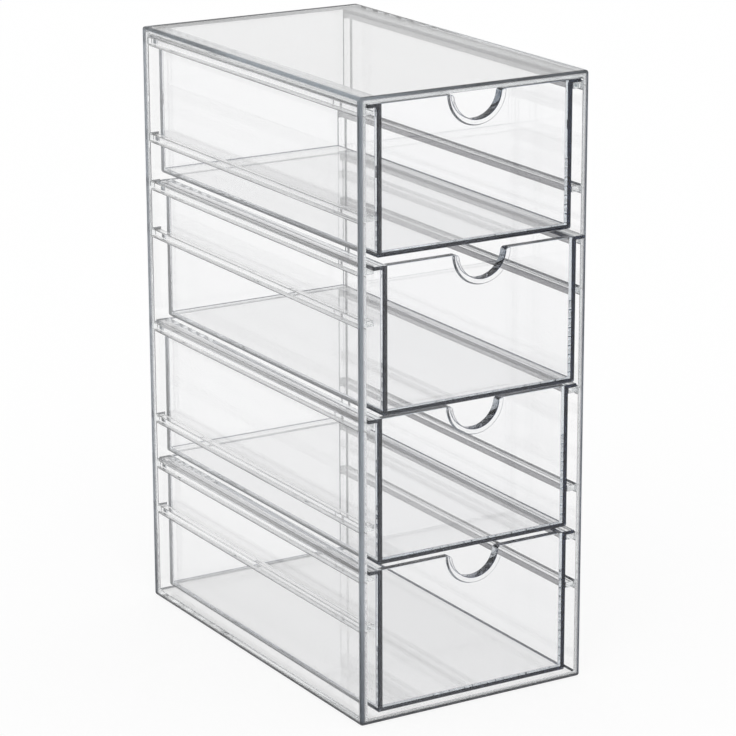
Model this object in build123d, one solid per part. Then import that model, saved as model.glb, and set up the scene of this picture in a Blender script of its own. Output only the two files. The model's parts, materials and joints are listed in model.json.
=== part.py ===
from build123d import *
import os
from fractions import Fraction

# A clear tower of four drawers for cosmetics, 104 x 176 x 251 mm. The case is a box of bonded
# acrylic sheets, open at the front, with rails along the insides of its two side walls. Each drawer
# is an open tray of thinner sheets, and hangs by two runner strips that slide on a pair of rails.
#
# Sizes are in millimetres. X goes across the front, Y from the front to the back, Z up. The origin
# is the middle of the face that the case stands on.

# Driving dimensions: the case
case_width = 104.0
case_depth = 176.0
case_height = 251.0
side_thickness = 3.0
plate_thickness = 2.5
case_edge_radius = 1.2

# Driving dimensions: the rails. The case is made for either of two sets of drawers, so it has the
# rails of both, and a rail that both sets need is there only once.
drawer_count = 4
shallow_drawer_count = 6
rail_width = 4.0
rail_height = 2.5
rail_setback = 1.0
rail_edge_radius = 0.3

# Driving dimensions: a drawer
wall_thickness = 2.0
floor_thickness = 2.0
front_thickness = 3.0
runner_thickness = 1.5
runner_edge_radius = 0.3
drawer_edge_radius = 1.0

# Driving dimensions: the finger notch in a drawer front, and the raised lip round it
notch_radius = 10.6
notch_shoulder_radius = 1.5
lip_width = 2.3
lip_height = 1.0

# Running clearances
runner_gap = 0.2
ceiling_gap = 0.3
side_gap = 0.8
between_drawers_gap = 2.0
back_gap = 1.0

# Drawers that stand open at rest, counted from the top, and by how much
open_at_rest = {2: 4.0}

# Places that several pieces share
half_width = case_width / 2
half_depth = case_depth / 2
inner_half_width = half_width - side_thickness
back_inner_face = half_depth - plate_thickness
ceiling = case_height - plate_thickness
interior_height = ceiling - plate_thickness
cell_height = interior_height / drawer_count
rail_drop = ceiling_gap + runner_thickness + runner_gap
drawer_half_width = inner_half_width - rail_width - side_gap
drawer_inner_half_width = drawer_half_width - wall_thickness
drawer_height = cell_height - between_drawers_gap
drawer_length = back_inner_face - back_gap + half_depth

# The runner overhangs the drawer's side by as much as the rail stands out from the wall, which
# leaves the same gap between runner and wall as between rail and drawer.
runner_overhang = rail_width

# A rounded edge takes at most this share of the sheet that it is on. The case's outer edges are all
# alike, so its thinnest sheet decides for them.
most_of_sheet = 0.6
thinnest_case_sheet = min(side_thickness, plate_thickness)


def block(low, high):
    """A box between its lowest and its highest corner."""
    centre = [(a + b) / 2 for a, b in zip(low, high)]
    size = [b - a for a, b in zip(low, high)]
    return Pos(*centre) * Box(*size)


def rounded(edges, radius, sheet):
    """The solid with these edges rounded, by a radius that the sheet's thickness can hold."""
    return fillet(edges, min(radius, most_of_sheet * sheet))


def mirrored(shape, side):
    """The shape as made for the right side, or its mirror image for the left."""
    return shape if side > 0 else mirror(shape, about=Plane.YZ)


def end_plate(low_z, outer_direction):
    """The top or the floor of the case, rounded all round its outer face."""
    plate = block((-half_width, -half_depth, low_z), (half_width, half_depth, low_z + plate_thickness))
    corners = plate.edges().filter_by(Axis.Z)
    outer_face = plate.faces().sort_by(Axis.Z)[-1 if outer_direction > 0 else 0]
    return rounded(corners + outer_face.edges(), case_edge_radius, thinnest_case_sheet)


def side_panel(side):
    """A side wall of the case, between the floor and the top, rounded at its two outer corners."""
    wall = block(
        (inner_half_width, -half_depth, plate_thickness),
        (half_width, half_depth, ceiling),
    )
    outer_corners = wall.edges().filter_by(Axis.Z).group_by(Axis.X)[-1]
    return mirrored(rounded(outer_corners, case_edge_radius, thinnest_case_sheet), side)


def back_panel():
    """The back wall of the case, set in between the side walls."""
    return block(
        (-inner_half_width, back_inner_face, plate_thickness),
        (inner_half_width, half_depth, ceiling),
    )


def rail_tops():
    """Heights of the rails' top faces, from the highest down, with no height twice."""
    shares = {Fraction(k, count) for count in (drawer_count, shallow_drawer_count) for k in range(count)}
    return [ceiling - rail_drop - float(share) * interior_height for share in sorted(shares)]


def rail(top_z, side):
    """One rail on the inside of a side wall, from just behind the front to the back wall."""
    bar = block(
        (inner_half_width - rail_width, rail_setback - half_depth, top_z - rail_height),
        (inner_half_width, back_inner_face, top_z),
    )
    free_edges = bar.edges().filter_by(Axis.Y).group_by(Axis.X)[0]
    return mirrored(rounded(free_edges, rail_edge_radius, rail_height), side)


def drawer_floor():
    """The floor under the whole drawer, rounded along its lower edges. The drawer's front is at y = 0."""
    sheet = block(
        (-drawer_half_width, 0, 0),
        (drawer_half_width, drawer_length, floor_thickness),
    )
    return rounded(sheet.faces().sort_by(Axis.Z)[0].edges(), drawer_edge_radius, floor_thickness)


def drawer_side(side):
    """A side of the drawer. It stands on the floor, and a runner lies along its top."""
    sheet = block(
        (drawer_inner_half_width, 0, floor_thickness),
        (drawer_half_width, drawer_length, drawer_height - runner_thickness),
    )
    return mirrored(sheet, side)


def runner(side):
    """The strip on top of a drawer's side that overhangs it and slides on the rail."""
    strip = block(
        (drawer_inner_half_width, 0, drawer_height - runner_thickness),
        (drawer_half_width + runner_overhang, drawer_length, drawer_height),
    )
    free_edges = strip.edges().filter_by(Axis.Y).group_by(Axis.X)[-1]
    return mirrored(rounded(free_edges, runner_edge_radius, runner_thickness), side)


def drawer_back():
    """The back of the drawer, between its sides."""
    return block(
        (-drawer_inner_half_width, drawer_length - wall_thickness, floor_thickness),
        (drawer_inner_half_width, drawer_length, drawer_height),
    )


def notch_face(radius):
    """A disc on the front plane, centred on the top edge of the drawer front."""
    return Plane.XZ * Pos(0, drawer_height) * Circle(radius)


def front_slab(thickness, first_y):
    """The outline of the drawer front, given a thickness, from first_y backwards."""
    return block(
        (-drawer_inner_half_width, first_y, floor_thickness),
        (drawer_inner_half_width, first_y + thickness, drawer_height),
    )


def drawer_front():
    """The front sheet, with the half-round finger notch and the raised lip round the notch."""
    lip_disc = extrude(notch_face(notch_radius + lip_width), lip_height)
    lip = front_slab(lip_height, -lip_height) & lip_disc
    sheet = front_slab(front_thickness, 0) + lip
    depth = front_thickness + lip_height
    sheet -= extrude(notch_face(notch_radius), depth, both=True)
    shoulders = sheet.edges().filter_by(Axis.Y).filter_by_position(
        Axis.X, -notch_radius, notch_radius
    ).filter_by_position(Axis.Z, drawer_height, drawer_height)
    return fillet(shoulders, notch_shoulder_radius)


def drawer_pieces():
    """The sheets of one drawer by name, in the drawer's own place with its front at y = 0."""
    return {
        "front": drawer_front(),
        "floor": drawer_floor(),
        "back": drawer_back(),
        "left_side": drawer_side(-1),
        "right_side": drawer_side(1),
        "left_runner": runner(-1),
        "right_runner": runner(1),
    }


def case_pieces():
    """The sheets and rails of the case by name."""
    pieces = {
        "top_panel": end_plate(ceiling, 1),
        "floor_panel": end_plate(0, -1),
        "back_panel": back_panel(),
        "left_side_panel": side_panel(-1),
        "right_side_panel": side_panel(1),
    }
    for number, top_z in enumerate(rail_tops(), start=1):
        pieces[f"left_rail_{number}"] = rail(top_z, -1)
        pieces[f"right_rail_{number}"] = rail(top_z, 1)
    return pieces


def all_pieces():
    """Every piece of the tower by name, where it is at rest."""
    pieces = case_pieces()
    drawer = drawer_pieces()
    for number in range(1, drawer_count + 1):
        top_z = ceiling - ceiling_gap - (number - 1) * cell_height
        front_y = -half_depth - open_at_rest.get(number, 0)
        place = Pos(0, front_y, top_z - drawer_height)
        for name, piece in drawer.items():
            pieces[f"drawer_{number}_{name}"] = place * piece
    return pieces


os.makedirs("parts", exist_ok=True)
for node, solid in all_pieces().items():
    export_step(solid, f"parts/{node}.step")
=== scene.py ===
# %% [markdown]
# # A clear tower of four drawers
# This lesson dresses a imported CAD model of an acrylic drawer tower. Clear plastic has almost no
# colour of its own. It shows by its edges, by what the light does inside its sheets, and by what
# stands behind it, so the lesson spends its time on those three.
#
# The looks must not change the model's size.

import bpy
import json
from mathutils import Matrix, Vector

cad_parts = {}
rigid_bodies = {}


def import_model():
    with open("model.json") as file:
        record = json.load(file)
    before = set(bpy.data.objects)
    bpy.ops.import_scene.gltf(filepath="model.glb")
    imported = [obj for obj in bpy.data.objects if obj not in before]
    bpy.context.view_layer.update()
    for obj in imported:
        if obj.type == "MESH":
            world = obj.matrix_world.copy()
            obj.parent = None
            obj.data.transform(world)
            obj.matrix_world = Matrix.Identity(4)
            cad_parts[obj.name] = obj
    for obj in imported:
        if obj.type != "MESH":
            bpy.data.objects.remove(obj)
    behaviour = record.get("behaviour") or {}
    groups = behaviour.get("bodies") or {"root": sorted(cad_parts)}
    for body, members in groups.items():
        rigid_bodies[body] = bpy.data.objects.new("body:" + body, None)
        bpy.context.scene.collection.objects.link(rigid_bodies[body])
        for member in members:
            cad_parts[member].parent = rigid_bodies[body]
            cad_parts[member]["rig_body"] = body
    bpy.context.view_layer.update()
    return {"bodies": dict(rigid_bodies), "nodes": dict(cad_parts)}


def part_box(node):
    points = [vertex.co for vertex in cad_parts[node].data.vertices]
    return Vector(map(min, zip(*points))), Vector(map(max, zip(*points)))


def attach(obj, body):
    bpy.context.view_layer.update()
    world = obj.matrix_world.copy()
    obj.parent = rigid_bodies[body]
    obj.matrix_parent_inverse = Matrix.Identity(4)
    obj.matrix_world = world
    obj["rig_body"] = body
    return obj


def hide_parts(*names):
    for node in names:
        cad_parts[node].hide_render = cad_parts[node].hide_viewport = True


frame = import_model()

import json
import math

import bmesh
import bpy
from mathutils import Matrix, Vector

MM = 0.001

# %% [markdown]
# ## The camera
# The picture looks at the tower's left front corner from a little above its top, through a long
# lens. A camera looks along its own -Z, and its +Y is up. The three directions are worked out from
# the turn and the tilt and set as a matrix. Euler angles would do as well, but a matrix says
# plainly where the camera looks, which makes a wrong sign easy to see.
#
# Blender counts the lens and the film in millimetres, and all else in metres.

# %% Place the camera
camera_place = Vector((-0.6565, -1.1010, 0.4927))
camera_turn = math.radians(30.975)
camera_tilt = math.radians(-16.339)
camera_roll = math.radians(-0.177)
focal_length, film_width = 158.34, 36
farthest_seen = 100

forward = Vector((
    math.cos(camera_tilt) * math.sin(camera_turn),
    math.cos(camera_tilt) * math.cos(camera_turn),
    math.sin(camera_tilt),
))
right = Vector((math.cos(camera_turn), -math.sin(camera_turn), 0))
up = right.cross(forward)
axes = Matrix((right, up, -forward)).transposed().to_4x4()
roll = Matrix.Rotation(camera_roll, 4, "Z")

lens = bpy.data.cameras.new("long_lens")
lens.lens = focal_length
lens.sensor_width = film_width
lens.clip_end = farthest_seen
camera = bpy.data.objects.new("camera", lens)
camera.matrix_world = Matrix.Translation(camera_place) @ axes @ roll
bpy.context.collection.objects.link(camera)
bpy.context.scene.camera = camera
print("camera looks along", [round(c, 3) for c in forward])

# %% [markdown]
# ## Small helpers for shaders
# A shader is a tree of nodes with links between them. Four helpers keep that readable: one empties
# a tree, one adds a node and fills in its sockets, one links two sockets, and one adds a Math node.

# %% Shader helpers
def empty_tree(owner):
    """The node tree of a material or a world, with nothing in it."""
    owner.use_nodes = True
    owner.node_tree.nodes.clear()
    return owner.node_tree


def add_node(tree, kind, settings=None, **sockets):
    """A new shader node, with its settings and its input sockets filled in."""
    node = tree.nodes.new("ShaderNode" + kind)
    for name, value in (settings or {}).items():
        setattr(node, name, value)
    for name, value in sockets.items():
        node.inputs[name.replace("_", " ")].default_value = value
    return node


def link(tree, source, target):
    """Feeds one socket from another."""
    tree.links.new(source, target)


def maths(tree, operation, *values):
    """The output of a Math node. Each value is a number or an output socket."""
    node = add_node(tree, "Math", {"operation": operation})
    for socket, value in zip(node.inputs, values):
        if isinstance(value, (int, float)):
            socket.default_value = value
        else:
            link(tree, value, socket)
    return node.outputs[0]


print("helpers for shaders: empty_tree, add_node, link, maths")

# %% [markdown]
# ## Seen, or only giving light
# The floor and the room look different from what they give as light. The Light Path node says what
# kind of ray has arrived. So it tells a ray that ends in the picture from one that only carries
# light to the object.

# %% Kind of ray
seen_by = ("Camera", "Glossy", "Transmission")


def seen_directly(tree):
    """1 where the camera looks at this shader, also by way of a mirror or through glass. 0 where
    the shader only gives light."""
    path = add_node(tree, "LightPath")
    rays = [path.outputs[f"Is {kind} Ray"] for kind in seen_by]
    return maths(tree, "MAXIMUM", maths(tree, "MAXIMUM", rays[0], rays[1]), rays[2])


print("rays that end in the picture:", *seen_by)

# %% [markdown]
# ## The floor
# The tower stands on a pale floor before a white background. A floor made white by strong lamps
# would wash out the plastic, so the floor is lit at a plain level and gets the rest of its white as
# a glow. The glow is there only where the floor is seen, directly or through the sheets, and gives
# no light. The part that the lamps make keeps the tower's faint shadow.
#
# The floor lies a hair below the tower, because two surfaces in one place confuse the renderer.

# %% Floor
white = (1, 1, 1, 1)
floor_reach = 12.0
floor_drop = 0.2 * MM
floor_paper_white = 0.15

floor_corners = [(-1, -1), (1, -1), (1, 1), (-1, 1)]
floor_mesh = bpy.data.meshes.new("floor")
floor_mesh.from_pydata(
    [(x * floor_reach, y * floor_reach, -floor_drop) for x, y in floor_corners], [], [(0, 1, 2, 3)]
)
floor = bpy.data.objects.new("floor", floor_mesh)
bpy.context.collection.objects.link(floor)

floor_paper = bpy.data.materials.new("floor_paper")
tree = empty_tree(floor_paper)
paper = add_node(tree, "BsdfDiffuse", Color=(floor_paper_white,) * 3 + (1,))
glow = add_node(tree, "Emission", Color=white)
glow_strength = maths(tree, "MULTIPLY", seen_directly(tree), 1.0 - floor_paper_white)
link(tree, glow_strength, glow.inputs["Strength"])
floor_look = add_node(tree, "AddShader")
link(tree, paper.outputs[0], floor_look.inputs[0])
link(tree, glow.outputs[0], floor_look.inputs[1])
link(tree, floor_look.outputs[0], add_node(tree, "OutputMaterial").inputs["Surface"])
floor_mesh.materials.append(floor_paper)
print("floor:", 2 * floor_reach, "m wide, and glows with", 1.0 - floor_paper_white)

# %% [markdown]
# ## The room
# Clear plastic is drawn by the room round it. A room that is white all over would make the tower
# vanish, while a dark one would blacken it. Product photographers put a white cloth behind glass
# and leave the room above it darker: the sheets stay light, and every edge that bends the view
# upwards turns grey. The world does the same. It is white at the horizon, a light grey above that,
# and white again overhead.
#
# Only rays that end in the picture see these greys. The tower and the floor are lit by an even
# room.

# %% Studio room
room_light = 0.8
horizon_white, wall_grey, overhead_white = 1.0, 0.7, 0.98
wall_foot, wall_top = 0.05, 0.25
overhead_foot, overhead_top = 0.5, 0.8

world = bpy.data.worlds.new("studio")
bpy.context.scene.world = world
tree = empty_tree(world)
gives = add_node(tree, "Background", Color=white, Strength=room_light)
shows = add_node(tree, "Background", Color=white)
height = add_node(tree, "SeparateXYZ")
link(tree, add_node(tree, "TexCoord").outputs["Generated"], height.inputs[0])
wall = add_node(
    tree, "MapRange", From_Min=wall_foot, From_Max=wall_top, To_Min=horizon_white, To_Max=wall_grey
)
overhead = add_node(
    tree, "MapRange", From_Min=overhead_foot, From_Max=overhead_top,
    To_Min=0.0, To_Max=overhead_white - wall_grey,
)
for step in (wall, overhead):
    link(tree, height.outputs["Z"], step.inputs["Value"])
link(tree, maths(tree, "ADD", wall.outputs[0], overhead.outputs[0]), shows.inputs["Strength"])
either = add_node(tree, "MixShader")
link(tree, seen_directly(tree), either.inputs["Fac"])
link(tree, gives.outputs[0], either.inputs[1])
link(tree, shows.outputs[0], either.inputs[2])
link(tree, either.outputs[0], add_node(tree, "OutputWorld").inputs["Surface"])
print("room gives", room_light, "and shows", horizon_white, wall_grey, overhead_white)

# %% [markdown]
# ## The window and the renderer
# One wide sun stands for a soft window. An area lamp would do as well, but a sun lights a tower and
# an open drawer alike. A sun of strength pi lights a white surface that faces it to full white, so
# the share is given against that. The Standard view shows a colour as it is written.
#
# Light may bounce inside a sheet dozens of times before it finds a way out, so the renderer is
# allowed more bounces than usual.

# %% Soft window and bounces
sun_share = 0.25
window_width = math.radians(50)
window_tilt, window_lean = math.radians(35), math.radians(-25)
most_bounces, most_bounces_in_plastic = 64, 48

window = bpy.data.lights.new("soft_window", "SUN")
window.energy = math.pi * sun_share
window.angle = window_width
lamp = bpy.data.objects.new("soft_window", window)
lamp.rotation_euler = (window_tilt, window_lean, 0)
bpy.context.collection.objects.link(lamp)

bpy.context.scene.view_settings.view_transform = "Standard"
cycles = bpy.context.scene.cycles
cycles.max_bounces = most_bounces
cycles.transmission_bounces = most_bounces_in_plastic
cycles.glossy_bounces = most_bounces_in_plastic
print("window gives", sun_share, "of full white, and light bounces up to", most_bounces, "times")

# %% [markdown]
# ## Sheets as boxes
# Each sheet of the tower is an upright box, apart from its rounded edges, so its CAD box says all
# about it. A box has one thin axis, which is the sheet's thickness. The wide sides across that axis
# are cast as smooth as glass. The narrow sides are ends that were sawn and polished, and look
# darker, because light that enters there runs along inside the whole sheet.
#
# A rail is too slim to be a sheet. Its free side faces the drawer.

# %% What each side of a box is
X, Y, Z = range(3)
SHEET_FACE, SHEET_END, RAIL_SIDE = range(3)
widest_bar = 5 * MM
micrometre_digits = 6


def corners(node):
    """The lowest and the highest corner of a CAD node, to the micrometre, so that two sheets that
    touch share one plane."""
    return tuple(tuple(round(c, micrometre_digits) for c in corner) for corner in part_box(node))


def kind_of_side(box, axis):
    """What a side of this box is, if it faces along this axis."""
    size = [high - low for low, high in zip(*box)]
    if max(size[X], size[Z]) < widest_bar:
        return RAIL_SIDE if axis == X else SHEET_FACE
    return SHEET_FACE if size[axis] == min(size) else SHEET_END


side_low, side_high = corners("left_side_panel")
print("a side panel is", round((side_high[X] - side_low[X]) / MM, 1), "mm thick")

# %% [markdown]
# ## From sheets to one piece of plastic
# The real sheets are bonded with solvent, which leaves no seam: light passes a joint as if the
# plastic went on. Where two CAD sheets touch, Blender would see two surfaces with air between them,
# and the joint would shine like a mirror. So the sheets of the case become one mesh, and so do
# those of each drawer.
#
# A Boolean modifier could join them, one sheet after another. With boxes it is simpler and cleaner
# to cut space along all their planes, mark the cells that hold plastic, and keep only the walls
# between a full and an empty cell.

# %% Cells and their walls
def cells_of(box, cuts):
    """The cells of the cut-up space that a box fills."""
    spans = [range(cut.index(low), cut.index(high)) for cut, low, high in zip(cuts, *box)]
    return [(i, j, k) for i in spans[0] for j in spans[1] for k in spans[2]]


def wall_between(cell, axis, step):
    """The four grid points of the wall on one side of a cell, turning so that it faces outwards."""
    points = []
    for one, other in ((0, 0), (1, 0), (1, 1), (0, 1)):
        point = list(cell)
        point[axis] += step
        point[(axis + 1) % 3] += one
        point[(axis + 2) % 3] += other
        points.append(tuple(point))
    return points if step else points[::-1]


print("the upper wall of the first cell:", wall_between((0, 0, 0), Z, 1))

# %% [markdown]
# ## The walls that are left
# Each wall keeps what kind of side it is as its material index. At the end, flat areas that were
# cut into many cells become single faces again. Two cubes side by side serve as a test: if the wall
# between them is gone and the rest is joined, six faces are left.

# %% Fuse boxes into one mesh
flat_angle = math.radians(1)


def fuse(boxes):
    """One closed bmesh round boxes that touch, with no walls left inside."""
    cuts = [sorted({corner[axis] for box in boxes for corner in box}) for axis in range(3)]
    plastic = {cell: box for box in boxes for cell in cells_of(box, cuts)}
    bm = bmesh.new()
    made = {}
    for cell in sorted(plastic):
        for axis in range(3):
            for step in (0, 1):
                beside = list(cell)
                beside[axis] += 1 if step else -1
                if tuple(beside) in plastic:
                    continue
                points = wall_between(cell, axis, step)
                for point in points:
                    if point not in made:
                        made[point] = bm.verts.new([cut[i] for cut, i in zip(cuts, point)])
                face = bm.faces.new([made[point] for point in points])
                face.material_index = kind_of_side(plastic[cell], axis)
    bm.normal_update()
    bmesh.ops.dissolve_limit(
        bm, angle_limit=flat_angle, verts=bm.verts, edges=bm.edges, delimit={"MATERIAL"}
    )
    return bm


pair = fuse([((0, 0, 0), (1, 1, 1)), ((1, 0, 0), (2, 1, 1))])
print("two cubes side by side fuse to", len(pair.faces), "faces")
pair.free()

# %% [markdown]
# ## From a bmesh to a piece
# A piece is an object with a finished mesh. Modifiers do the cutting and the rounding, and are
# applied at once, so that the mesh is what is seen.

# %% Piece helpers
def piece_from(bm, name):
    """A new object with the bmesh's mesh. The bmesh is used up."""
    mesh = bpy.data.meshes.new(name)
    bm.to_mesh(mesh)
    bm.free()
    piece = bpy.data.objects.new(name, mesh)
    bpy.context.collection.objects.link(piece)
    return piece


def settle(piece):
    """Applies the piece's modifiers."""
    bpy.context.view_layer.update()
    result = piece.evaluated_get(bpy.context.evaluated_depsgraph_get())
    mesh = bpy.data.meshes.new_from_object(result)
    piece.modifiers.clear()
    before = piece.data
    piece.data = mesh
    bpy.data.meshes.remove(before)
    mesh.name = piece.name


def combine(piece, tool, operation):
    """Adds a tool's shape to the piece, or cuts it away, and removes the tool."""
    boolean = piece.modifiers.new(operation.lower(), "BOOLEAN")
    boolean.solver = "EXACT"
    boolean.operation = operation
    boolean.object = tool
    settle(piece)
    bpy.data.objects.remove(tool)


def own_box(piece):
    """The lowest and the highest corner of a piece, in its own space."""
    return Vector(piece.bound_box[0]), Vector(piece.bound_box[6])


print("helpers for pieces: piece_from, settle, combine, own_box")

# %% [markdown]
# ## Rounded edges
# No edge of a plastic sheet is truly sharp. The Bevel modifier rounds each edge by a width times
# the edge's own weight, so that one modifier makes both the large outer rounding and the fine one
# inside.
#
# The flat faces keep flat shading, and only the rounding is shaded smooth. Smooth shading over a
# wide pane would tilt its normals a little near the edges, and a clear pane shows every such error
# as a bent reflection.

# %% Round the edges
sharp_angle = math.radians(30)
case_edge_radius = 1.2 * MM
bond_radius = 0.7 * MM
fine_radius = 0.3 * MM
faces_round_an_edge = 4
touch = 0.01 * MM


def lies_on(item, axis, value):
    """True if an edge or a face lies in the plane where this axis has this value."""
    return all(abs(vertex.co[axis] - value) < touch for vertex in item.verts)


def round_edges(piece, radius_of):
    """Rounds all edges of the piece, each by the radius that radius_of gives for it."""
    bm = bmesh.new()
    bm.from_mesh(piece.data)
    weight = bm.edges.layers.float.new("bevel_weight_edge")
    sharp = [edge for edge in bm.edges if edge.calc_face_angle() > sharp_angle]
    largest = max(radius_of(edge) for edge in sharp)
    for edge in sharp:
        edge[weight] = radius_of(edge) / largest
    bm.to_mesh(piece.data)
    bm.free()
    bevel = piece.modifiers.new("rounding", "BEVEL")
    bevel.limit_method = "WEIGHT"
    bevel.width = largest
    bevel.segments = faces_round_an_edge
    settle(piece)
    for polygon in piece.data.polygons:
        polygon.use_smooth = max(abs(c) for c in polygon.normal) < math.cos(flat_angle)


print("radii in mm:", [round(r / MM, 1) for r in (case_edge_radius, bond_radius, fine_radius)])

# %% [markdown]
# ## Masks for the material
# Two materials on one clear mesh would not work: the renderer takes light that leaves through the
# second material for light that is still inside the first. So each piece has one material, and the
# faces say in attributes what they are. A mask of 1 means an end, a rail's side or a rounding.
#
# The ends at the back get half a mask, so their painted shade is paler than that of the ends in
# front. Of those, the left ones are painted a touch paler than the right ones, as painted light
# from the window on the left, and the long end of the floor lies between them. So the mask of an
# end is kept at the corners of its face, and blends from one to the next. With so dark a painted
# shade, a mask just below 1 already shows.
#
# How strong the mask of a rounding is depends on the piece, so each piece brings its own rule.

# %% Keep masks on the faces
# How much of the ends' painted shade the back ends and the left ends get.
back_end_mask, left_end_mask = 0.5, 0.993
back_reach = 2 * MM


def end_mask(place, back_y):
    """The mask of a sheet's end at this place."""
    if place[Y] > back_y - back_reach:
        return back_end_mask
    return left_end_mask if place[X] < 0 else 1.0


def keep_masks(piece, back_y, rounding_mask):
    """Masks, as attributes, for the material to read. rounding_mask gives the mask of a rounded
    face and takes the face and the number of outer sides that it touches."""
    mesh = piece.data
    box = own_box(piece)
    ends, rail_sides, roundings = [0.0] * len(mesh.loops), [], []
    for polygon in mesh.polygons:
        outer = sum(
            min(abs(polygon.center[axis] - side[axis]) for side in box) < case_edge_radius
            for axis in range(3)
        )
        rail_sides.append(float(polygon.material_index == RAIL_SIDE))
        roundings.append(rounding_mask(polygon, outer) if polygon.use_smooth else 0.0)
        if polygon.material_index == SHEET_END:
            for corner, vertex in zip(polygon.loop_indices, polygon.vertices):
                ends[corner] = end_mask(mesh.vertices[vertex].co, back_y)
    for name, domain, values in (
        ("sheet_end", "CORNER", ends),
        ("rail_side", "FACE", rail_sides),
        ("rounding", "FACE", roundings),
    ):
        mesh.attributes.new(name, "FLOAT", domain).data.foreach_set("value", values)
    mesh.polygons.foreach_set("material_index", [0] * len(mesh.polygons))


print("masks of the ends: back", back_end_mask, "left", left_end_mask, "right", 1.0)

# %% [markdown]
# ## The case
# The case is a box of five sheets, open at the front, with eight rails along each side wall. All
# of it is bonded, so it is one mesh. Its outer edges are rounded by 1.2 mm, as in the CAD model.
# The solvent leaves a small fillet in every inner corner, and painted shade on these fillets draws
# the two fine lines along each rail. Every other edge gets the third of a millimetre that polishing
# takes off.
#
# The large roundings get painted shade lines later on, so only those that touch no outer side are
# masked here, for the painted shade of the fine roundings and the fillets.

# %% Build the case
case_nodes = sorted(name for name, o in frame["nodes"].items() if o["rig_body"] == "case")
case_low, case_high = corners("floor_panel")[0], corners("top_panel")[1]
case = piece_from(fuse([corners(name) for name in case_nodes]), "case")


def case_radius(edge):
    """The large radius where two outer sides of the case meet, the bond's in the inner corners, and
    the fine one elsewhere."""
    sides = sum(
        lies_on(edge, axis, outer[axis]) for axis in range(3) for outer in (case_low, case_high)
    )
    if sides == 2:
        return case_edge_radius
    return fine_radius if edge.is_convex else bond_radius


round_edges(case, case_radius)
# The rounding mask marks where the material paints shade on the fine roundings and the bond
# fillets.
keep_masks(case, case_high[Y], lambda polygon, outer: float(outer == 0))
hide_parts(*case_nodes)
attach(case, "case")
print("case:", len(case_nodes), "CAD nodes in", len(case.data.polygons), "faces")

# %% [markdown]
# ## The notch and its lip
# Each drawer is pulled open by a half-round notch in the top edge of its front. A low lip runs
# round the notch, which a finger feels, and which makes the thin edge stronger.
#
# These are the only round shapes of the tower. Their outlines are points on arcs, given a depth. A
# curve object with an extrusion could do this as well, but a bmesh is a closed solid at once, and a
# Boolean needs closed solids.

# %% Arcs and prisms
def arc(centre, radius, start, end, steps):
    """Points (x, z) along an arc, with its angles in degrees."""
    turns = [math.radians(start + (end - start) * step / steps) for step in range(steps + 1)]
    return [(centre[0] + radius * math.cos(t), centre[1] + radius * math.sin(t)) for t in turns]


def prism(outline, y_low, y_high, name):
    """An outline in X and Z, given a depth along Y."""
    bm = bmesh.new()
    ends = [[bm.verts.new((x, y, z)) for x, z in outline] for y in (y_low, y_high)]
    bm.faces.new(ends[0])
    bm.faces.new(ends[1][::-1])
    for i, start in enumerate(ends[0]):
        bm.faces.new((ends[0][i - 1], ends[1][i - 1], ends[1][i], start))
    bmesh.ops.recalc_face_normals(bm, faces=bm.faces)
    return piece_from(bm, name)


quarter = arc((0, 0), 1, 0, 90, 2)
print("a quarter of a circle in two steps:", [(round(x, 3), round(z, 3)) for x, z in quarter])

# %% [markdown]
# ## The outline of the notch
# The notch meets the drawer's top edge in two rounded shoulders. Its outline goes on above that
# edge, and the lip starts inside the front sheet, because a Boolean is safer with shapes that
# overlap than with shapes that only touch.

# %% Outline of the notch
notch_radius = 10.6 * MM
notch_shoulder_radius = 1.5 * MM
lip_width = 2.3 * MM
overlap = 1.0 * MM
steps_round_notch, steps_round_shoulder = 64, 8


def notch_outline(top):
    """The notch with its rounded shoulders, and open above the drawer's top edge."""
    from_centre = notch_radius + notch_shoulder_radius
    shoulder_x = math.sqrt(from_centre**2 - notch_shoulder_radius**2)
    tilt = math.degrees(math.asin(notch_shoulder_radius / from_centre))
    shoulder_z = top - notch_shoulder_radius
    left, right = (-shoulder_x, shoulder_z), (shoulder_x, shoulder_z)
    points = [(-shoulder_x, top + overlap)]
    points += arc(left, notch_shoulder_radius, 90, tilt, steps_round_shoulder)
    points += arc((0, top), notch_radius, 180 + tilt, 360 - tilt, steps_round_notch)[1:-1]
    points += arc(right, notch_shoulder_radius, 180 - tilt, 90, steps_round_shoulder)
    return points + [(shoulder_x, top + overlap)]


print("notch:", len(notch_outline(0)), "points, lip", round(lip_width / MM, 1), "mm wide")

# %% [markdown]
# ## Less painted shade in the notch
# The walls of the notch and of its lip get less of the roundings' painted shade than the other
# roundings, and the notch's wall gets paler towards the drawer's top edge. The mask follows the
# distance from the notch's centre, which is the middle of that edge.

# %% Mask of the notch
# How much of the roundings' painted shade the notch's wall and the lip get.
wall_mask_at_top, wall_mask_at_bottom, lip_mask = 0.3, 0.95, 0.75


def notch_mask(polygon, top):
    """The rounding mask on the notch's wall and round the lip, and 1 on any other face."""
    below_top = top - polygon.center[Z]
    beyond_notch = math.hypot(polygon.center[X], below_top) - notch_radius
    if abs(beyond_notch - lip_width) < fine_radius + touch:
        return lip_mask
    on_wall = abs(beyond_notch) < fine_radius and abs(polygon.normal[Y]) < math.sin(flat_angle)
    down_the_wall = (wall_mask_at_bottom - wall_mask_at_top) * below_top / notch_radius
    return wall_mask_at_top + down_the_wall if on_wall else 1.0


print("mask down the notch's wall:", wall_mask_at_top, "to", wall_mask_at_bottom)

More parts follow.
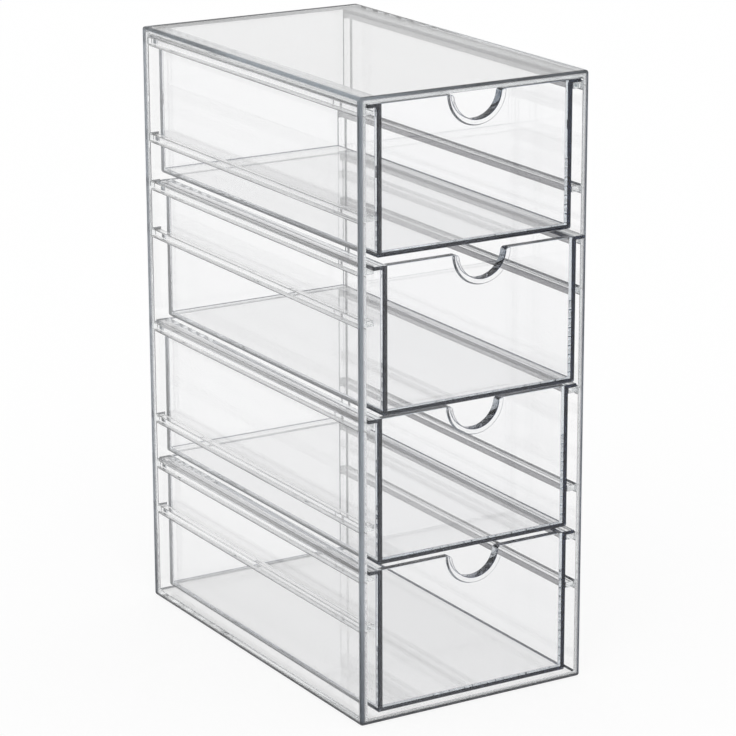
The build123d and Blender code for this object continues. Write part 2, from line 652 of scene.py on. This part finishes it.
# %% [markdown]
# ## The drawers
# A drawer is an open tray of thinner sheets, with a runner strip along the top of each side that
# hangs over it and slides on a rail. The four drawers are alike, and a loop makes them, each where
# the CAD model has it. The second one stands open by a few millimetres, as in the picture.
#
# The CAD box of a front takes in its lip, so the sheet itself starts where the drawer's floor does.
# A rounding that touches two outer sides of a drawer gets a painted shade line later on, so the
# masks for the roundings' painted shade leave it out.

# %% Build the drawers
drawer_edge_radius = 1.0 * MM
drawers = []

for body in sorted(name for name in frame["bodies"] if name.startswith("drawer_")):
    boxes = {name: corners(name) for name, o in frame["nodes"].items() if o["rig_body"] == body}
    floor_low, floor_high = boxes[body + "_floor"]
    front_low, front_high = boxes[body + "_front"]
    face_y, bottom, top = floor_low[Y], floor_low[Z], front_high[Z]
    boxes[body + "_front"] = ((front_low[X], face_y, front_low[Z]), front_high)
    drawer = piece_from(fuse([boxes[name] for name in sorted(boxes)]), body)

    lip_outline = arc((0, top), notch_radius + lip_width, 180, 360, steps_round_notch)
    combine(drawer, prism(lip_outline, front_low[Y], face_y + overlap, "lip"), "UNION")
    notch = prism(notch_outline(top), front_low[Y] - overlap, front_high[Y] + overlap, "notch")
    combine(drawer, notch, "DIFFERENCE")

    round_edges(
        drawer, lambda edge: drawer_edge_radius if lies_on(edge, Z, bottom) else fine_radius
    )
    keep_masks(
        drawer, floor_high[Y], lambda polygon, outer: (outer < 2) * notch_mask(polygon, top)
    )
    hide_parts(*sorted(boxes))
    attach(drawer, body)
    drawers.append(drawer)
    print(body + ":", len(boxes), "CAD nodes in", len(drawer.data.polygons), "faces")

# %% [markdown]
# ## Groups and mixed colours
# A job that more than one material needs is a shader node group: a small tree with named inputs
# and outputs, built once and placed in each material with its own values. One helper makes an
# empty group with its sockets, and another mixes two colours.
#
# A Mix node keeps a set of sockets for each kind of data. Those for colours are the seventh and the
# eighth, and the factor is the first.

# %% Group helpers
factor_socket, first_colour_socket, second_colour_socket, mixed_colour_socket = 0, 6, 7, 2


def new_group(name, inputs, outputs):
    """An empty shader node group with named sockets. Each socket is (name, kind, default)."""
    group = bpy.data.node_groups.new(name, "ShaderNodeTree")
    for side, sockets in (("INPUT", inputs), ("OUTPUT", outputs)):
        for socket_name, kind, value in sockets:
            made = group.interface.new_socket(
                socket_name, in_out=side, socket_type="NodeSocket" + kind
            )
            if value is not None:
                made.default_value = value
    return group, group.nodes.new("NodeGroupInput"), group.nodes.new("NodeGroupOutput")


def mix_colour(tree, factor, one, other):
    """The output of a Mix node for colours. Each colour is a tuple or an output socket."""
    blend = add_node(tree, "Mix", {"data_type": "RGBA"})
    for value, number in (
        (factor, factor_socket), (one, first_colour_socket), (other, second_colour_socket)
    ):
        if isinstance(value, tuple):
            blend.inputs[number].default_value = value
        else:
            link(tree, value, blend.inputs[number])
    return blend.outputs[mixed_colour_socket]


print("helpers for groups: new_group, mix_colour")

# %% [markdown]
# ## Colours by mask
# Both finishes of the tower need the same thing: a colour for wide faces, one for ends, one for
# rail sides and one for rounded edges, where the dark ones are painted shade. The group reads the
# masks of the faces with Attribute nodes and hands on one colour for light that goes in. Light
# inside the plastic sees another colour, in which only the roundings differ from the wide faces, so
# the roundings' painted shade shows there too.

# %% Group for colours by mask
mask_colours = [
    ("rounding", "Rounding Colour"),
    ("sheet_end", "End Colour"),
    ("rail_side", "Rail Colour"),
]
colours_by_mask, given, result = new_group(
    "colours_by_mask",
    [("Sheet Colour", "Color", white)]
    + [(socket, "Color", white) for _, socket in mask_colours]
    + [("Inside Rounding Colour", "Color", white)],
    [
        ("Colour Going In", "Color", None),
        ("Colour Inside", "Color", None),
        ("End Mask", "Float", None),
    ],
)
masks = {
    attribute: add_node(colours_by_mask, "Attribute", {"attribute_name": attribute}).outputs["Fac"]
    for attribute, _ in mask_colours
}
colour = given.outputs["Sheet Colour"]
for attribute, socket in mask_colours:
    colour = mix_colour(colours_by_mask, masks[attribute], colour, given.outputs[socket])
link(colours_by_mask, colour, result.inputs["Colour Going In"])
inside = mix_colour(
    colours_by_mask, masks["rounding"],
    given.outputs["Sheet Colour"], given.outputs["Inside Rounding Colour"],
)
link(colours_by_mask, inside, result.inputs["Colour Inside"])
link(colours_by_mask, masks["sheet_end"], result.inputs["End Mask"])
print("colours_by_mask:", len(colours_by_mask.nodes), "nodes")

# %% [markdown]
# ## Painted shade along the edges
# Seen from outside, the tower is drawn by the outer edges of its case and of its drawers: a dark
# line along each, a little wider than the rounding, and a clear sheet beside it. On the real tower
# the line comes from light that the rounded edge gathers from all round and traps; here it is
# painted shade, a dark Base Color along the edge. Where another sheet ends behind the edge, as at
# the back, the line is much wider.
#
# A line is darkest at the very edge and fades towards the pane. The group puts out two values for
# each kind of line, its mask and its paleness. The next four cells of code fill it.

# %% Group for edge lines
usual_width, usual_softness = 1 * MM, 0.15

painted_edge_shade, given, result = new_group(
    "painted_edge_shade",
    [("Size", "Vector", None)]
    + [(part + " Width", "Float", usual_width) for part in ("Side", "Front", "Back", "Foot", "Top")]
    + [("Softness", "Float", usual_softness)]
    + [(reason, "Float", 0.0) for reason in ("Polish Paler", "Left Paler", "Long Top Paler")],
    [
        (f"{kind} {value}", "Float", None)
        for kind in ("Upright", "Level")
        for value in ("Mask", "Paleness")
    ],
)
print("painted_edge_shade takes:", ", ".join(socket.name for socket in given.outputs if socket.name))

# %% [markdown]
# ## How deep a place lies
# The masks are worked out from the place in the piece's own box. The Generated coordinates run from
# 0 to 1 across it, so one group serves a case and a drawer, also when the drawer slides. A place
# has a depth below the nearest side of the box along X, Y and Z. Each depth is divided by the width
# that the line may have there. Near an upright edge, the shares along X and Y are both below 1.
# Near a level edge, the share along Z is, and one of the other two.

# %% Depths as shares of the lines
middle = 0.5
no_line = 0.01 * MM


def width_by_half(place, low_name, high_name):
    """The width given for the low half of the box, or the one for the high half."""
    high_half = maths(painted_edge_shade, "GREATER_THAN", place, middle)
    wider = maths(painted_edge_shade, "SUBTRACT", given.outputs[high_name], given.outputs[low_name])
    return maths(painted_edge_shade, "MULTIPLY_ADD", high_half, wider, given.outputs[low_name])


def share_of_line(place, length, width):
    """The depth below the nearer end of this axis, as a share of the line's width. Every depth is
    greater by no_line, so a width of half of that gives no line at all."""
    from_middle = maths(painted_edge_shade, "ABSOLUTE", maths(painted_edge_shade, "SUBTRACT", place, middle))
    from_end = maths(painted_edge_shade, "SUBTRACT", middle, from_middle)
    depth = maths(painted_edge_shade, "MULTIPLY_ADD", from_end, length, no_line)
    return maths(painted_edge_shade, "DIVIDE", depth, width)


places = add_node(painted_edge_shade, "SeparateXYZ")
link(painted_edge_shade, add_node(painted_edge_shade, "TexCoord").outputs["Generated"], places.inputs[0])
lengths = add_node(painted_edge_shade, "SeparateXYZ")
link(painted_edge_shade, given.outputs["Size"], lengths.inputs[0])
widths = (
    given.outputs["Side Width"],
    width_by_half(places.outputs["Y"], "Front Width", "Back Width"),
    width_by_half(places.outputs["Z"], "Foot Width", "Top Width"),
)
x, y, z = (share_of_line(*axis) for axis in zip(places.outputs, lengths.outputs, widths))
print("depths along X, Y and Z:", len(painted_edge_shade.nodes), "nodes so far")

# %% [markdown]
# ## Where the lines are paler
# The painted shade of a line is paler in some places than in others: a little here and there,
# more on the left side, where painted light stands for the window's light falling into the edges,
# and most along the long edges of the top, which turn dark only towards the back. Noise gives the
# first of these, and the place in the box the others.
# A line near the foot stays dark, because little light reaches it there.
#
# Each of these is an amount times one or more shares between 0 and 1, and a soft step makes such a
# share out of a place.

# %% Soft steps and shares
def soft_step(value, start, end):
    """0 before the start, 1 after the end, and a soft rise between them."""
    step = add_node(painted_edge_shade, "MapRange", {"interpolation_type": "SMOOTHSTEP"}, From_Max=end)
    link(painted_edge_shade, value, step.inputs["Value"])
    if isinstance(start, float):
        step.inputs["From Min"].default_value = start
    else:
        link(painted_edge_shade, start, step.inputs["From Min"])
    return step.outputs[0]


def paler_by(reason, *shares):
    """How much paler the line gets for this reason, where all the shares are above 0."""
    amount = given.outputs[reason]
    for share in shares:
        amount = maths(painted_edge_shade, "MULTIPLY", amount, share)
    return amount


def rest_of(share):
    """1 less the share."""
    return maths(painted_edge_shade, "SUBTRACT", 1.0, share)


print("helpers for shares: soft_step, paler_by, rest_of")

# %% [markdown]
# ## The three reasons
# The noise changes about every 45 mm. The left side and the foot are given as parts of the box,
# counted from its low end, and so is where the long edges of the top turn dark.

# %% Paleness of the lines
paler_stretch = 45 * MM
paler_from, paler_to = 0.4, 0.7
left_reach, foot_reach = 0.35, 0.25
dark_from, dark_to = 0.5, 0.8

uneven = add_node(painted_edge_shade, "TexNoise", Scale=1 / paler_stretch, Detail=1.0)
link(painted_edge_shade, add_node(painted_edge_shade, "TexCoord").outputs["Object"], uneven.inputs["Vector"])
above_foot = soft_step(places.outputs["Z"], 0.0, foot_reach)
on_the_left = rest_of(soft_step(places.outputs["X"], 0.0, left_reach))
# The painted shade of the lines is paler here and there by noise, and paler on the left side as
# painted light from the window.
paleness = maths(
    painted_edge_shade, "ADD",
    paler_by("Polish Paler", soft_step(uneven.outputs["Fac"], paler_from, paler_to), above_foot),
    paler_by("Left Paler", on_the_left, above_foot),
)
long_top = paler_by(
    "Long Top Paler",
    maths(painted_edge_shade, "LESS_THAN", x, y),
    maths(painted_edge_shade, "GREATER_THAN", places.outputs["Z"], middle),
    rest_of(soft_step(places.outputs["Y"], dark_from, dark_to)),
)
print("paler stretches of", round(paler_stretch / MM), "mm")

# %% [markdown]
# ## From shares to lines
# An upright line needs both of its shares small, so the larger of the two decides. A level line
# runs along X or along Y, so the smaller of those two shares counts, together with the one along Z.
# The line ends a little beyond its width, and its softness says how early it starts to fade.

# %% Upright and level lines
line_end = 1.15

fade_from = maths(painted_edge_shade, "SUBTRACT", line_end, given.outputs["Softness"])
upright = maths(painted_edge_shade, "MAXIMUM", x, y)
level = maths(painted_edge_shade, "MAXIMUM", maths(painted_edge_shade, "MINIMUM", x, y), z)
level_paleness = maths(painted_edge_shade, "MAXIMUM", paleness, long_top)
for kind, share, pale in (("Upright", upright, paleness), ("Level", level, level_paleness)):
    line_mask = rest_of(soft_step(share, fade_from, line_end))
    link(painted_edge_shade, line_mask, result.inputs[kind + " Mask"])
    link(painted_edge_shade, pale, result.inputs[kind + " Paleness"])
print("painted_edge_shade:", len(painted_edge_shade.nodes), "nodes")

# %% [markdown]
# ## What polishing and handling leave
# Perfect sheets look drawn, not made. Three small things break that up, each far below a
# millimetre. The cast sheet is wavy over a hand's width, which bends reflections a little. The
# polished ends have short ripples from the wheel. And hands leave faint patches on the faces that
# are a touch less glossy.
#
# The group makes all three from noise in the object's own space, so that they stay on the piece
# when a drawer slides. It puts out a height in metres for a Bump node and a value for Roughness.

# %% Group for polish and handling
wave_size, ripple_size, patch_size = 60 * MM, 2.5 * MM, 35 * MM
patch_from, patch_to = 0.62, 0.8
polish, given, result = new_group(
    "polish",
    [
        ("End Mask", "Float", 0.0),
        ("Wave Height", "Float", 0.0),
        ("Ripple Height", "Float", 0.0),
        ("Patch Roughness", "Float", 0.0),
    ],
    [("Height", "Float", None), ("Roughness", "Float", None)],
)
place = add_node(polish, "TexCoord").outputs["Object"]


def noise_of(size, detail):
    """Noise with features of this size, between 0 and 1."""
    noise = add_node(polish, "TexNoise", Scale=1 / size, Detail=detail)
    link(polish, place, noise.inputs["Vector"])
    return noise.outputs["Fac"]


wave, ripple = noise_of(wave_size, detail=0.0), noise_of(ripple_size, detail=0.0)
wave = maths(polish, "MULTIPLY", wave, given.outputs["Wave Height"])
ripple = maths(polish, "MULTIPLY", ripple, given.outputs["Ripple Height"])
ripple = maths(polish, "MULTIPLY", ripple, given.outputs["End Mask"])
patch = add_node(
    polish, "MapRange", {"interpolation_type": "SMOOTHSTEP"}, From_Min=patch_from, From_Max=patch_to
)
link(polish, noise_of(patch_size, detail=1.0), patch.inputs["Value"])
link(polish, given.outputs["Patch Roughness"], patch.inputs["To Max"])
link(polish, maths(polish, "ADD", wave, ripple), result.inputs["Height"])
link(polish, patch.outputs[0], result.inputs["Roughness"])
print("polish:", len(polish.nodes), "nodes")

# %% [markdown]
# ## What all pieces share
# All pieces are of acrylic and come from one workshop. So the refraction index, the waves, the
# patches, and the paler parts of the lines are alike on all of them.

# %% What all pieces share
acrylic_index = 1.49
line_roughness = 0.45
# The palest colour of a painted shade line, where painted light makes the line paler.
pale_painted_line = (0.48, 0.55, 0.64, 1)
wave_height = 0.01 * MM
patch_roughness = 0.03

mirrored = ((acrylic_index - 1) / (acrylic_index + 1)) ** 2
print("a face mirrors", round(100 * mirrored, 1), "% of the light that meets it straight on")

# %% [markdown]
# ## The clear plastic
# The plastic itself is a Principled shader with full transmission and the refraction index of
# acrylic. The sheets are solid, so light bends and is trapped in them as in the real ones. A
# cheaper way would be a thin, see-through surface, but its edges stay as pale as its faces, and
# the dark edges are what one sees of this tower.
#
# The painted shade on ends, rails and edges is put only where light goes in, which Geometry's
# Backfacing tells. Painted shade on the way out as well would show as dashes in every other edge,
# where trapped light leaves. Only the fine roundings have painted shade inside too, so that they
# also show through the sheets. Blender tints by the square root of the Base Color at each surface,
# so the painted shade of the dark ends needs a very dark colour.
#
# A little absorption inside gives long ways through the plastic a grey-blue cast.

# %% Clear plastic material
def clear_plastic(
    name, colours, lines, shade_line_colours, end_roughness, body_colour, body_density, ripple_height
):
    """A clear plastic. The colours and the lines' widths are by the names of their sockets in the
    groups, and the colours of the lines by the kind of line."""
    material = bpy.data.materials.new(name)
    tree = empty_tree(material)
    surface = add_node(tree, "BsdfPrincipled", IOR=acrylic_index, Transmission_Weight=1.0)
    going_in = maths(tree, "SUBTRACT", 1.0, add_node(tree, "NewGeometry").outputs["Backfacing"])

    tints = add_node(tree, "Group", {"node_tree": colours_by_mask}, **colours)
    edges = add_node(tree, "Group", {"node_tree": painted_edge_shade}, **lines)
    colour = tints.outputs["Colour Going In"]
    rough = maths(tree, "MULTIPLY", tints.outputs["End Mask"], end_roughness)
    for kind, line_colour in shade_line_colours.items():
        mask = edges.outputs[kind + " Mask"]
        line = mix_colour(tree, edges.outputs[kind + " Paleness"], line_colour, pale_painted_line)
        colour = mix_colour(tree, mask, colour, line)
        rough = maths(tree, "MAXIMUM", rough, maths(tree, "MULTIPLY", mask, line_roughness))
    colour = mix_colour(tree, going_in, tints.outputs["Colour Inside"], colour)
    link(tree, colour, surface.inputs["Base Color"])

    wear = add_node(
        tree, "Group", {"node_tree": polish},
        Wave_Height=wave_height, Ripple_Height=ripple_height, Patch_Roughness=patch_roughness,
    )
    link(tree, tints.outputs["End Mask"], wear.inputs["End Mask"])
    rough = maths(tree, "MULTIPLY", rough, going_in)
    rough = maths(tree, "MAXIMUM", rough, wear.outputs["Roughness"])
    link(tree, rough, surface.inputs["Roughness"])
    bump = add_node(tree, "Bump", Strength=1.0, Distance=1.0)
    link(tree, wear.outputs["Height"], bump.inputs["Height"])
    link(tree, bump.outputs[0], surface.inputs["Normal"])

    body = add_node(tree, "VolumeAbsorption", Color=body_colour, Density=body_density)
    out = add_node(tree, "OutputMaterial")
    link(tree, surface.outputs[0], out.inputs["Surface"])
    link(tree, body.outputs[0], out.inputs["Volume"])
    return material


plastic_groups = (colours_by_mask, painted_edge_shade, polish)
print("a clear plastic has the groups", *(group.name for group in plastic_groups))

# %% [markdown]
# ## The case's finish
# The case has clear, pale ends, and shows painted shade as dark lines along its outer edges. Its
# rails are painted a shaded grey where they face the drawers. The line at the back is wide, because
# the back sheet ends behind it.

# %% Finish of the case
def size_of(piece):
    """The size of the piece's box."""
    low, high = own_box(piece)
    return high - low


case_plastic = clear_plastic(
    "case_plastic",
    colours={
        "Sheet_Colour": (0.98, 0.98, 0.98, 1),
        "End_Colour": (0.97, 0.97, 0.97, 1),
        # Painted shade on the fine roundings and the bond fillets, going in and inside.
        "Rounding_Colour": (0.022, 0.024, 0.028, 1),
        "Inside_Rounding_Colour": (0.03, 0.032, 0.036, 1),
        # Painted shade on the rails' sides that face the drawers.
        "Rail_Colour": (0.045, 0.045, 0.05, 1),
    },
    lines={
        "Size": size_of(case),
        "Side_Width": 2.2 * MM,
        "Front_Width": 1.75 * MM,
        "Back_Width": 4.6 * MM,
        "Foot_Width": 2.3 * MM,
        "Top_Width": 1.4 * MM,
        "Softness": 0.6,
        "Polish_Paler": 0.15,
        "Left_Paler": 0.4,
        "Long_Top_Paler": 1.0,
    },
    # Painted shade: the dark colours of the case's edge lines.
    shade_line_colours={
        "Upright": (0.036, 0.044, 0.06, 1),
        "Level": (0.007, 0.0075, 0.01, 1),
    },
    end_roughness=0.15,
    body_colour=(0.44, 0.49, 0.52, 1),
    body_density=1.5,
    ripple_height=0.02 * MM,
)
print("the case measures", [round(length / MM) for length in size_of(case)], "mm")

# %% [markdown]
# ## The drawers' finish
# The drawers are the other way round: their ends in front are painted with so dark a blue shade
# that they frame each drawer in navy, while their painted shade lines along the edges are narrow,
# and there are none in front and on top. A drawer's box reaches out to the runners' outer sides, so
# the width of a line along a side takes in how far a runner hangs over.

# %% Finish of the drawers
runner_overhang = corners("drawer_1_right_runner")[1][X] - corners("drawer_1_floor")[1][X]
side_line = 0.8 * MM

drawer_plastic = clear_plastic(
    "drawer_plastic",
    colours={
        "Sheet_Colour": (0.99, 0.99, 0.993, 1),
        # Painted shade: the navy of the drawers' ends.
        "End_Colour": (0.0006, 0.0009, 0.0028, 1),
        # Painted shade on the drawers' fine roundings, dark going in and lighter inside.
        "Rounding_Colour": (0.03, 0.034, 0.055, 1),
        "Inside_Rounding_Colour": (0.3, 0.32, 0.36, 1),
        "Rail_Colour": white,
    },
    lines={
        "Size": size_of(drawers[0]),
        "Side_Width": runner_overhang + side_line,
        "Front_Width": no_line / 2,
        "Back_Width": 2.6 * MM,
        "Foot_Width": 1.2 * MM,
        "Top_Width": no_line / 2,
        "Polish_Paler": 0.5,
    },
    # Painted shade: the dark colours of the drawers' edge lines.
    shade_line_colours={
        "Upright": (0.035, 0.04, 0.048, 1),
        "Level": (0.03, 0.033, 0.045, 1),
    },
    end_roughness=0.1,
    body_colour=(0.4, 0.48, 0.56, 1),
    body_density=3.0,
    ripple_height=0.01 * MM,
)
print("a runner hangs over by", round(runner_overhang / MM, 1), "mm")

# %% [markdown]
# ## Each piece gets its finish
# The new meshes have no material yet. The case gets the one, and all four drawers share the other.

# %% Give the pieces their finish
for piece, plastic in [(case, case_plastic)] + [(drawer, drawer_plastic) for drawer in drawers]:
    piece.data.materials.clear()
    piece.data.materials.append(plastic)
    print(piece.name, "is of", plastic.name)
